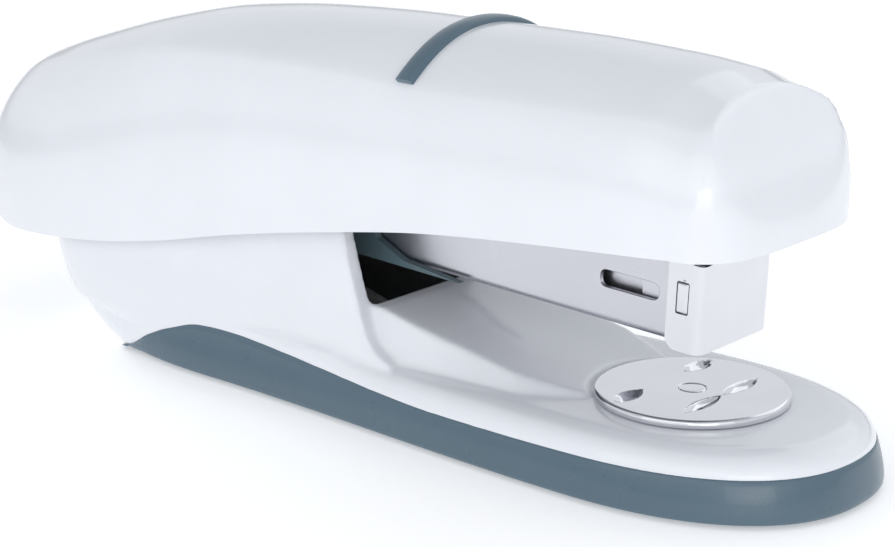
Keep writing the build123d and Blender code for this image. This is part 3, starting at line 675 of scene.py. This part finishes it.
def super_quarter(centre, reach, half, power, count, sign):
    """Points of a squarish quarter-ellipse, from its tip to its widest place."""
    points = []
    for angle in spread(0, math.pi / 2, count):
        x = centre + sign * reach * math.cos(angle) ** (2 / power)
        points.append((x, half * math.sin(angle) ** (2 / power)))
    return points


def resampled(points, count):
    """count + 1 points, evenly spaced along a line of points."""
    lengths = [0.0]
    for a, b in zip(points, points[1:]):
        lengths.append(lengths[-1] + math.hypot(b[0] - a[0], b[1] - a[1]))
    result, k = [], 0
    for want in spread(0, lengths[-1], count):
        while k < len(points) - 2 and lengths[k + 1] < want:
            k += 1
        t = min((want - lengths[k]) / (lengths[k + 1] - lengths[k]), 1.0)
        result.append(tuple(points[k][i] + t * (points[k + 1][i] - points[k][i]) for i in (0, 1)))
    return result


def base_half_outline(z, inset=0.0):
    """One side of the base from above at height z, from the tip round to the heel."""
    tight = LEAN_IN(z) + inset
    rear_tight = REAR_LEAN(z) + inset
    front = super_quarter(FRONT_CENTRE_X, BASE_TIP_X - FRONT_CENTRE_X - tight,
                          BASE_HALF_FRONT - tight, FRONT_POWER, 36, 1)
    reach = REAR_CENTRE_X - HEEL_X(z) - HEEL_LEAN * LEAN_IN(z) - inset
    rear = super_quarter(REAR_CENTRE_X, reach, BASE_HALF_REAR - rear_tight, REAR_POWER, 60, -1)
    side = []
    for x in spread(FRONT_CENTRE_X, REAR_CENTRE_X, 34)[1:-1]:
        share = (x - REAR_CENTRE_X) / (FRONT_CENTRE_X - REAR_CENTRE_X)
        half = BASE_HALF_REAR + (BASE_HALF_FRONT - BASE_HALF_REAR) * smooth_step(share)
        forward = smooth_step((x - LEAN_BLEND[0]) / (LEAN_BLEND[1] - LEAN_BLEND[0]))
        side.append((x, half - rear_tight + (rear_tight - tight) * forward))
    return resampled(front + side + rear[::-1], OUTLINE_STEPS)


def both_sides(half):
    return half + [(x, -y) for x, y in reversed(half[1:-1])]


def base_ring(height, inset=0.0):
    """A ring round the base at heights given by height(x)."""
    levels = {}
    outline = both_sides(base_half_outline(height(0), inset))
    for i, (x, _) in enumerate(outline):
        for _ in range(4):
            z = round(height(x), 2)
            if z not in levels:
                levels[z] = both_sides(base_half_outline(z, inset))
            x = levels[z][i][0]
        outline[i] = (*levels[z][i], height(x))
    return outline


def solid_boxes(node):
    """(lowest, highest) corner of each separate solid of a CAD node, in metres."""
    work = bmesh.new()
    work.from_mesh(frame["nodes"][node].data)
    bmesh.ops.remove_doubles(work, verts=work.verts, dist=1e-6)
    left, boxes = set(work.verts), []
    while left:
        queue, found = [left.pop()], []
        while queue:
            vert = queue.pop()
            found.append(vert.co.copy())
            for edge in vert.link_edges:
                other = edge.other_vert(vert)
                if other in left:
                    left.remove(other)
                    queue.append(other)
        boxes.append((Vector([min(p[i] for p in found) for i in range(3)]),
                      Vector([max(p[i] for p in found) for i in range(3)])))
    work.free()
    return boxes


def make_boot():
    """The dark lower tray that wraps the foot of the base."""
    def top(x):
        return max(BAND_TOP(x), FOOT_Z + 0.05)

    def at(rise):
        return lambda x: min(FOOT_Z + rise, top(x))

    def under(drop):
        return lambda x: max(top(x) - drop, FOOT_Z)

    def share(s):
        return lambda x: FOOT_Z + (top(x) - FOOT_Z) * s

    rows = [base_ring(at(0), 1.0), base_ring(at(0), 0.7), base_ring(at(0.12), 0.3),
            base_ring(at(0.4), 0.08)]
    rows += [base_ring(share(s)) for s in (0.15, 0.3, 0.5, 0.7, 0.85)]
    rows += [base_ring(under(0.30)), base_ring(under(0.12), 0.07), base_ring(under(0.02), 0.22),
             base_ring(under(0), 0.42), base_ring(under(0.1), 1.3)]
    rows = [[(max(x, BOOT_REAR_X), y, z) for x, y, z in ring] for ring in rows]
    boot = lofted("base_boot_tray", rows)
    cutters = [prism("well", circle(ANVIL_X, 0, BUTTON_WELL_R, 64), upward, -1, 5)]
    for node, radius, top_z in (("rubber_feet", FOOT_WELL_R, 1.3), ("base_screws", SCREW_WELL_R, 2.0)):
        for low, high in solid_boxes(node):
            x, y = (low.x + high.x) / 2 / MM, (low.y + high.y) / 2 / MM
            cutters.append(prism("well", circle(x, y, radius, 48), upward, -1, top_z))
    cut(boot, *cutters)
    edged(boot, 0.2, angle=50)
    return piece(boot, "trim_slate", "base", "base_boot")


def heeled(half, rear_x, front_x, power, middle_x):
    """A plan with straight sides and a squarish round heel, from above."""
    rear = super_quarter(middle_x, middle_x - rear_x, half, power, 28, -1)
    sides = [(x, half) for x in spread(middle_x, front_x, 16)[1:]]
    top = rear + sides
    return top + [(x, -y) for x, y in reversed(top[1:])]


def tower_plan(z):
    """The pedestal from above at height z. Its heel starts from the base's own."""
    lean = HEEL_LEAN * LEAN_IN(min(z, LEAN_TOP)) * (1 - smooth_step((z - TOWER_FOOT) / LEAN_FADE))
    return heeled(PEDESTAL_HALF(z), HEEL_X(z) + lean, PEDESTAL_FRONT(z), PEDESTAL_POWER(z),
                  PEDESTAL_MIDDLE_X(z))


def make_rim():
    """The low white part of the base, from inside the boot up to the flat that carries the anvil."""
    def band(x):
        return max(BAND_TOP(x), FOOT_Z)

    def sill(x):
        return FOOT_Z + (RIM_SILL - FOOT_Z) * smooth_step((band(x) - FOOT_Z) / 1.5)

    def below(s):
        return lambda x: sill(x) + (band(x) - sill(x)) * s

    def above(s):
        return lambda x: band(x) + (DECK_FLAT - band(x)) * s

    rings = [base_ring(below(s), 0.3) for s in (0, 0.3, 0.6, 0.9)] + [base_ring(below(0.98), 0.15)]
    rings += [base_ring(above(s)) for s in (0.02, 0.07, 0.14, 0.22, 0.32, 0.44, 0.55, 0.65, 0.78,
                                            0.87, 0.94, 0.98, 1)]
    return lofted("rim", rings)


def make_tower():
    """The pedestal, still without its well. Its top follows PEDESTAL_TOP."""
    foot = tower_plan(TOWER_FOOT)
    rows = []
    for v in spread(0, 1, 24):
        points = []
        for i, (x, _) in enumerate(foot):
            for _ in range(4):
                z = TOWER_FOOT + (PEDESTAL_TOP(x) - TOWER_FOOT) * v
                x, y = tower_plan(z)[i]
            points.append((x, y, z))
        rows.append(points)
    return lofted("tower", rows)


def make_deck():
    """The sloping table between the cheeks and the anvil, and the foot it stands on."""
    rows = []
    for v in spread(0, 1, 12):
        corners = [tuple(Vector(low).lerp(Vector(high), v))
                   for low, high in zip(DECK_LOW_PLAN, DECK_HIGH_PLAN)]
        corners += [(x, -y) for x, y in reversed(corners)]
        radii = [0] + [DECK_CORNER_R] * (len(corners) - 2) + [0]
        z = DECK_LOW + (DECK_HIGH - DECK_LOW) * v
        rows.append([(x, y, z) for x, y in rounded(corners, radii, 8)])
    table = lofted("table", rows)
    foot = lofted("foot", [[(x, y, z) for x, y, _ in rows[0]]
                          for z in (TOWER_FOOT, DECK_LOW + 0.01)])
    seat = circle(ANVIL_X, 0, SEAT_R, 80)
    cut(table, prism("lid", DECK_LID, across, -30, 30), prism("seat", seat, upward, DECK_FLAT, 20))
    return table, foot


def make_base_shell():
    """The white upper shell: rim, raised deck, and the pedestal with its two cheeks."""
    rim, tower, (table, foot) = make_rim(), make_tower(), make_deck()
    half = PEDESTAL_HALF(CHEEK_TOP) - CHEEK
    for solid in (rim, tower, table, foot):
        for floor_z, rear_x in WELL_LEVELS:
            plan = heeled(half, rear_x, WELL_FRONT_X, WELL_POWER, WELL_MIDDLE_X)
            cut(solid, prism("well", plan, upward, floor_z, 60))
    notch = rounded(rectangle(-NOTCH_HALF, NOTCH_HALF, NOTCH_Z, 40), 2.5)
    cut(tower, prism("notch", notch, lambda u, v, w: (w, u, v), -80, -58))
    shell = moulded(joined("base_upper_shell", rim, tower, table, foot), SKIN_VOXEL, SKIN_PASSES)
    return piece(shell, "shell_white", "base", "base_shell")


# ---- magazine ----
CHANNEL_HALF, CHANNEL_BOTTOM, CHANNEL_TOP = 7.7, -10.9, 3.2
CHANNEL_REAR, CHANNEL_END, SHEET = 6.0, 115.0, 0.8
SLOT_X0, SLOT_X1, SLOT_Z, SLOT_R = 99.3, 109.4, -4.4, 1.25
ROD_Z = -6.8
NOSE_FRONT, NOSE_HALF, NOSE_BOTTOM, NOSE_TOP, NOSE_FLAP = 117.2, 8.8, -11.5, 1.4, 5.7
NOSE_BEND = 1.6
RELIEF_AT, RELIEF_REACH, RELIEF_DEPTH = 0.4, 2.6, 0.35      # the dip of the top edge at each bend
EASE_REACH, EASE_DEPTH = 1.6, 1.3       # the flaps' rear corners are cut back by this much
TAB_X0, TAB_X1, TAB_Z0, TAB_Z1 = 113.1, 114.9, -6.0, -1.6
TAB_GAP = 0.13              # between a tab and the edge of its window


def make_channel():
    """The satin steel channel with its rounded lower edges and the staple window."""
    def profile(inset, radius):
        half, bottom = CHANNEL_HALF - inset, CHANNEL_BOTTOM + inset
        return rounded([(half, CHANNEL_TOP), (half, bottom), (-half, bottom), (-half, CHANNEL_TOP)],
                       [0, radius, radius, 0], 8)

    outer, inner = profile(0, 1.4), profile(SHEET, 0.6)
    section = outer + inner[::-1]
    rings = [[in_magazine(x, y, z) for y, z in section] for x in spread(CHANNEL_REAR, CHANNEL_END, 24)]
    channel = lofted("magazine_channel_steel", rings)
    window = rounded(rectangle(SLOT_X0, SLOT_X1, SLOT_Z - SLOT_R, SLOT_Z + SLOT_R), SLOT_R, 8)
    cut(channel, prism("window", window, magazine_across, -20, 20))
    edged(channel, 0.12, angle=45)
    return piece(channel, "satin_nickel", "drawer", "magazine_channel")


def make_nose():
    """The bright plate wrapped round the front of the channel, with its two sprung tabs."""
    rear, r = NOSE_FRONT - NOSE_FLAP, NOSE_BEND
    corner = [(NOSE_FRONT - r + r * math.sin(a), NOSE_HALF - r + r * math.cos(a))
              for a in spread(0, math.pi / 2, 9)]
    flap = [(x, NOSE_HALF) for x in spread(rear, NOSE_FRONT - r, 9)]
    front = [(NOSE_FRONT, y) for y in spread(NOSE_HALF - r, 0, 8)]
    half = flap + corner[1:] + front[1:]
    path = half + [(x, -y) for x, y in reversed(half[:-1])]
    rows = []
    steps = 18
    for j in range(steps + 1):
        row = []
        for x, y in path:
            off = math.hypot(NOSE_FRONT - x, NOSE_HALF - abs(y)) - RELIEF_AT
            relief = 1.0 - min(abs(off) / RELIEF_REACH, 1.0)
            top = NOSE_TOP - RELIEF_DEPTH * relief ** 1.5
            ease = EASE_DEPTH * (1 - min((x - rear) / EASE_REACH, 1.0)) ** 2
            bottom = NOSE_BOTTOM + ease
            z = bottom + (top - 0.4 * ease - bottom) * j / steps
            row.append(in_magazine(x, y, z))
        rows.append(row)
    nose = build("nose_plate_bright", [p for row in rows for p in row],
                 grid_faces(len(rows), len(path)), closed=False)
    thick(nose, SHEET)
    window = rounded(rectangle(TAB_X0 - TAB_GAP, TAB_X1 + TAB_GAP, TAB_Z0 - TAB_GAP, TAB_Z1 + TAB_GAP),
                     0.3, 4)
    cut(nose, prism("window", window, magazine_across, -20, 20))
    edged(nose, 0.1, angle=50)
    piece(nose, "bright_chrome", "drawer", "nose_plate")
    tab = rounded(rectangle(TAB_X0, TAB_X1, TAB_Z0, TAB_Z1), 0.25, 4)
    centre = Vector(((TAB_X0 + TAB_X1) / 2, (TAB_Z0 + TAB_Z1) / 2))
    for side, name in ((1, "left"), (-1, "right")):
        rows = []
        for depth, inset in ((-0.7, 0), (-0.12, 0), (0.02, 0.1), (0.06, 0.3), (0.10, 0.7)):
            ring = [centre + (Vector(p) - centre) * (1 - inset / 2.2) for p in tab]
            rows.append([in_magazine(p.x, side * (NOSE_HALF + depth), p.y) for p in ring])
        made = lofted("nose_tab_" + name, rows)
        piece(made, "bright_chrome", "drawer", "nose_tabs")


# ---- anvil ----
# each pair of clinching grooves: x and y from the middle, length, width
GROOVE_PAIRS = ((4.9, 4.75, 9.2, 2.4), (-4.9, 8.6, 6.8, 2.8))
GROOVE_DEPTH = 1.0
RIVET_R = 2.0


def groove_depth(x, y):
    """How deep the anvil's clinching grooves are at a place, in mm."""
    depth = 0.0
    for groove_x, groove_y, length, width in GROOVE_PAIRS:
        u, v = (abs(y) - groove_y) / (length / 2), (x - groove_x) / (width / 2)
        lens = 1 - u * u
        if abs(u) < 1 and abs(v) < lens:
            depth = max(depth, GROOVE_DEPTH * lens ** 0.7 * (1 - (v / lens) ** 2) ** 0.8)
    return depth


def make_anvil():
    """The polished clinching disc and the rivet in its middle."""
    low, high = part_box("anvil_plate")
    radius = (high[0] - low[0]) / 2 / MM
    bottom, top = low[2] / MM, high[2] / MM
    count = 220
    rings = []
    edge = [(radius - 0.45, top), (radius - 0.25, top - 0.05), (radius - 0.08, top - 0.2),
            (radius, top - 0.42), (radius, bottom + 0.2), (radius - 0.12, bottom + 0.05),
            (radius - 0.4, bottom)]
    inner = [(RIVET_R, bottom), (RIVET_R, top - 0.16), (RIVET_R + 0.05, top - 0.05),
             (RIVET_R + 0.14, top)]
    flat = [(r, None) for r in spread(RIVET_R + 0.25, radius - 0.6, 72)]
    for r, z in inner + flat + edge:
        ring = []
        for a in spread(0, 2 * math.pi, count)[:-1]:
            x, y = r * math.cos(a), r * math.sin(a)
            height = z if z is not None else top - groove_depth(x, y)
            ring.append((ANVIL_X + x, y, height))
        rings.append(ring)
    rings.append(rings[0])
    points = [p for ring in rings for p in ring]
    disc = build("anvil_disc", points, grid_faces(len(rings), count, ring=True))
    piece(disc, "bright_chrome", "anvil", "anvil_plate")
    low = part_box("anvil_rivet")[0][2] / MM
    profile = [(0.0, low), (1.4, low), (1.4, bottom), (1.98, bottom), (1.98, top - 0.16),
               (1.92, top - 0.05), (1.80, top), (1.0, top), (0.0, top)]
    rivet = turned("anvil_rivet_head", profile, ANVIL_X, 0)
    piece(rivet, "bright_chrome", "anvil", "anvil_rivet")


# ---- springs ----
PUSHER_SPRING_X = (7.3, 105.8)      # its two ends in the magazine's own frame


def make_springs():
    low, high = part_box("anvil_spring")
    z0, z1 = low[2] / MM, high[2] / MM
    spring = coil("anvil_spring_wire", lambda u, v, w: (ANVIL_X + u, v, w),
                  radius=5.1, wire=0.35, a=z0, b=z1, turns=4)
    painted(spring, "spring_steel")
    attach(spring, "base")
    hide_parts("anvil_spring")
    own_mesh(spring)
    rear, front = PUSHER_SPRING_X
    spring = coil("pusher_spring_wire", lambda u, v, w: in_magazine(w, u, v + ROD_Z),
                  radius=1.7, wire=0.26, a=rear, b=front, turns=58, steps=12)
    painted(spring, "spring_steel")
    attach(spring, "drawer")
    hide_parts("pusher_spring")
    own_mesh(spring)
    low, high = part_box("lever_spring")
    x, z = (low[0] + high[0]) / 2 / MM, (low[2] + high[2]) / 2 / MM
    spring = coil("lever_spring_wire", lambda u, v, w: (x + u, w, z + v),
                  radius=1.75, wire=0.28, a=low[1] / MM, b=high[1] / MM, turns=2, steps=24)
    piece(spring, "spring_steel", "magazine", "lever_spring")


def leaf(name, path, thickness, half, slot):
    """A bent leaf of spring steel along an XZ path given by its lower face."""
    centres = []
    for i in range(len(path) - 1):
        a, b = Vector(path[i]), Vector(path[i + 1])
        centres += [a.lerp(b, t) for t in spread(0, 1, 14)[:-1]]
    centres.append(Vector(path[-1]))
    for _ in range(10):
        centres = [centres[0]] + [(centres[i - 1] + 2 * centres[i] + centres[i + 1]) / 4
                                  for i in range(1, len(centres) - 1)] + [centres[-1]]
    rings = []
    for i, centre in enumerate(centres):
        along = (centres[min(i + 1, len(centres) - 1)] - centres[max(i - 1, 0)]).normalized()
        up = Vector((-along.y, along.x)) * thickness
        top = centre + up
        rings.append([(centre.x, -half, centre.y), (centre.x, half, centre.y),
                      (top.x, half, top.y), (top.x, -half, top.y)])
    made = lofted(name, rings)
    edged(made, 0.12, angle=50)
    baked(made)
    return painted(made, slot)


def make_leaves():
    path = [(-44.0, 7.3), (-26.0, 7.3), (-12.0, 20.2), (-6.0, 20.5)]
    spring = leaf("return_leaf", path, 0.7, 5.0, "spring_steel")
    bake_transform(spring)
    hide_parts("return_spring")
    path = [in_magazine(x, 0, z)[::2] for x, z in ((13.0, 5.0), (29.0, 5.0), (53.8, 10.5))]
    spring = leaf("handle_leaf", path, 0.6, 4.0, "spring_steel")
    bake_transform(spring)
    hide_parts("handle_spring")


# ---- CAD nodes that stay, with rounded edges and their materials ----
# the width of each node's edge rounding
KEPT = {
    "handle_arm": 0.15, "handle_bushes": 0.15, "cover_screws": 0.12, "driver_leaf": 0.08,
    "leaf_rivets": 0.15, "driver_blade": 0.06, "magazine_carrier": 0.25, "lever_pin": 0.15,
    "release_lever": 0.3, "staple_rail": 0.12, "rail_rivets": 0.12, "rod_bracket": 0.12,
    "guide_rod": 0.0, "pusher": 0.2, "rubber_feet": 0.0, "base_screws": 0.12,
    "chassis_bracket": 0.2, "chassis_rivets": 0.2, "hinge_pin": 0.0, "pin_clips": 0.08,
    "anvil_stem": 0.15,
}


def finish_kept():
    slots = {part["node"]: part["material_slot"] for part in frame["record"]["subparts"]}
    for name, width in KEPT.items():
        obj = frame["nodes"][name]
        painted(obj, slots[name])
        if width:
            edged(obj, width, angle=40)


# ---- floor, light and camera ----
CAMERA_PLACE = (0.22196, -0.24694, 0.11488)
CAMERA_TILT, CAMERA_TURN = 73.584, 40.403       # degrees
LENS = 88.59
FLOOR_HALF = 6000
# the sky's brightness at each height, where 0 is the horizon and 1 is straight up
SKY = ((0.0, 0.55), (0.07, 0.60), (0.12, 1.25), (0.42, 1.15), (0.60, 0.85), (1.0, 0.85))
SKY_COLOUR = (0.93, 0.96, 1.0)
SKY_STRENGTH = 0.76


def make_floor():
    corners = rectangle(-FLOOR_HALF, FLOOR_HALF, -FLOOR_HALF, FLOOR_HALF)
    floor = build("floor", [(x, y, 0) for x, y in corners], [(0, 1, 2, 3)])
    n = Nodes("pale_floor")
    n.set(base_color=n.mix(n.noise(8, 3), (0.93, 0.93, 0.94), (0.95, 0.95, 0.955)), roughness=0.6,
          emission_color=(1.0, 1.0, 1.0), emission_strength=0.34)
    floor.data.materials.append(n.material)


def make_sky():
    world = bpy.data.worlds.new("studio")
    bpy.context.scene.world = world
    world.use_nodes = True
    tree = world.node_tree
    place = tree.nodes.new("ShaderNodeTexCoord")
    axes = tree.nodes.new("ShaderNodeSeparateXYZ")
    ramp = tree.nodes.new("ShaderNodeValToRGB")
    stops = ramp.color_ramp.elements
    stops[1].position = 0.5
    while len(stops) < len(SKY):
        stops.new(0.5)
    for stop, (height, level) in zip(stops, SKY):
        stop.position = height
        stop.color = (*shaded(SKY_COLOUR, level), 1)
    tree.links.new(place.outputs["Generated"], axes.inputs["Vector"])
    tree.links.new(axes.outputs["Z"], ramp.inputs["Fac"])
    tree.links.new(ramp.outputs["Color"], tree.nodes["Background"].inputs["Color"])
    tree.nodes["Background"].inputs["Strength"].default_value = SKY_STRENGTH


def softbox(name, place, aim, width, height, power, colour):
    light = bpy.data.lights.new(name, "AREA")
    light.shape = "RECTANGLE"
    light.size, light.size_y = width, height
    light.energy = power
    light.color = colour
    lamp = bpy.data.objects.new(name, light)
    lamp.location = place
    lamp.rotation_euler = (Vector(aim) - Vector(place)).to_track_quat("-Z", "Y").to_euler()
    bpy.context.collection.objects.link(lamp)


def make_stage():
    make_floor()
    make_sky()
    softbox("key", place=(0.12, -0.8, 0.42), aim=(0.02, 0, 0.02), width=1.0, height=0.5,
            power=0.95, colour=(1, 0.99, 0.98))
    softbox("rear", place=(0.1, 0.7, 0.6), aim=(0, 0, 0.03), width=0.9, height=0.5,
            power=0.8, colour=(0.95, 0.98, 1))
    softbox("fill", place=(0.5, -0.42, 0.10), aim=(0.02, 0, 0.02), width=0.35, height=0.14,
            power=0.32, colour=(1, 0.99, 0.98))
    softbox("side", place=(0.65, -0.30, 0.30), aim=(0.05, 0, 0.03), width=0.5, height=0.5,
            power=0.3, colour=(1, 1, 1))

    camera = bpy.data.cameras.new("camera")
    camera.lens = LENS
    camera.sensor_width = 36
    camera.clip_start = 0.01
    view = bpy.data.objects.new("camera", camera)
    view.location = CAMERA_PLACE
    view.rotation_euler = (math.radians(CAMERA_TILT), 0, math.radians(CAMERA_TURN))
    bpy.context.collection.objects.link(view)
    bpy.context.scene.camera = view
    bpy.context.scene.view_settings.view_transform = "Standard"


make_cover()
make_strip()
make_boot()
make_base_shell()
make_channel()
make_nose()
make_anvil()
make_springs()
make_leaves()
finish_kept()
make_stage()
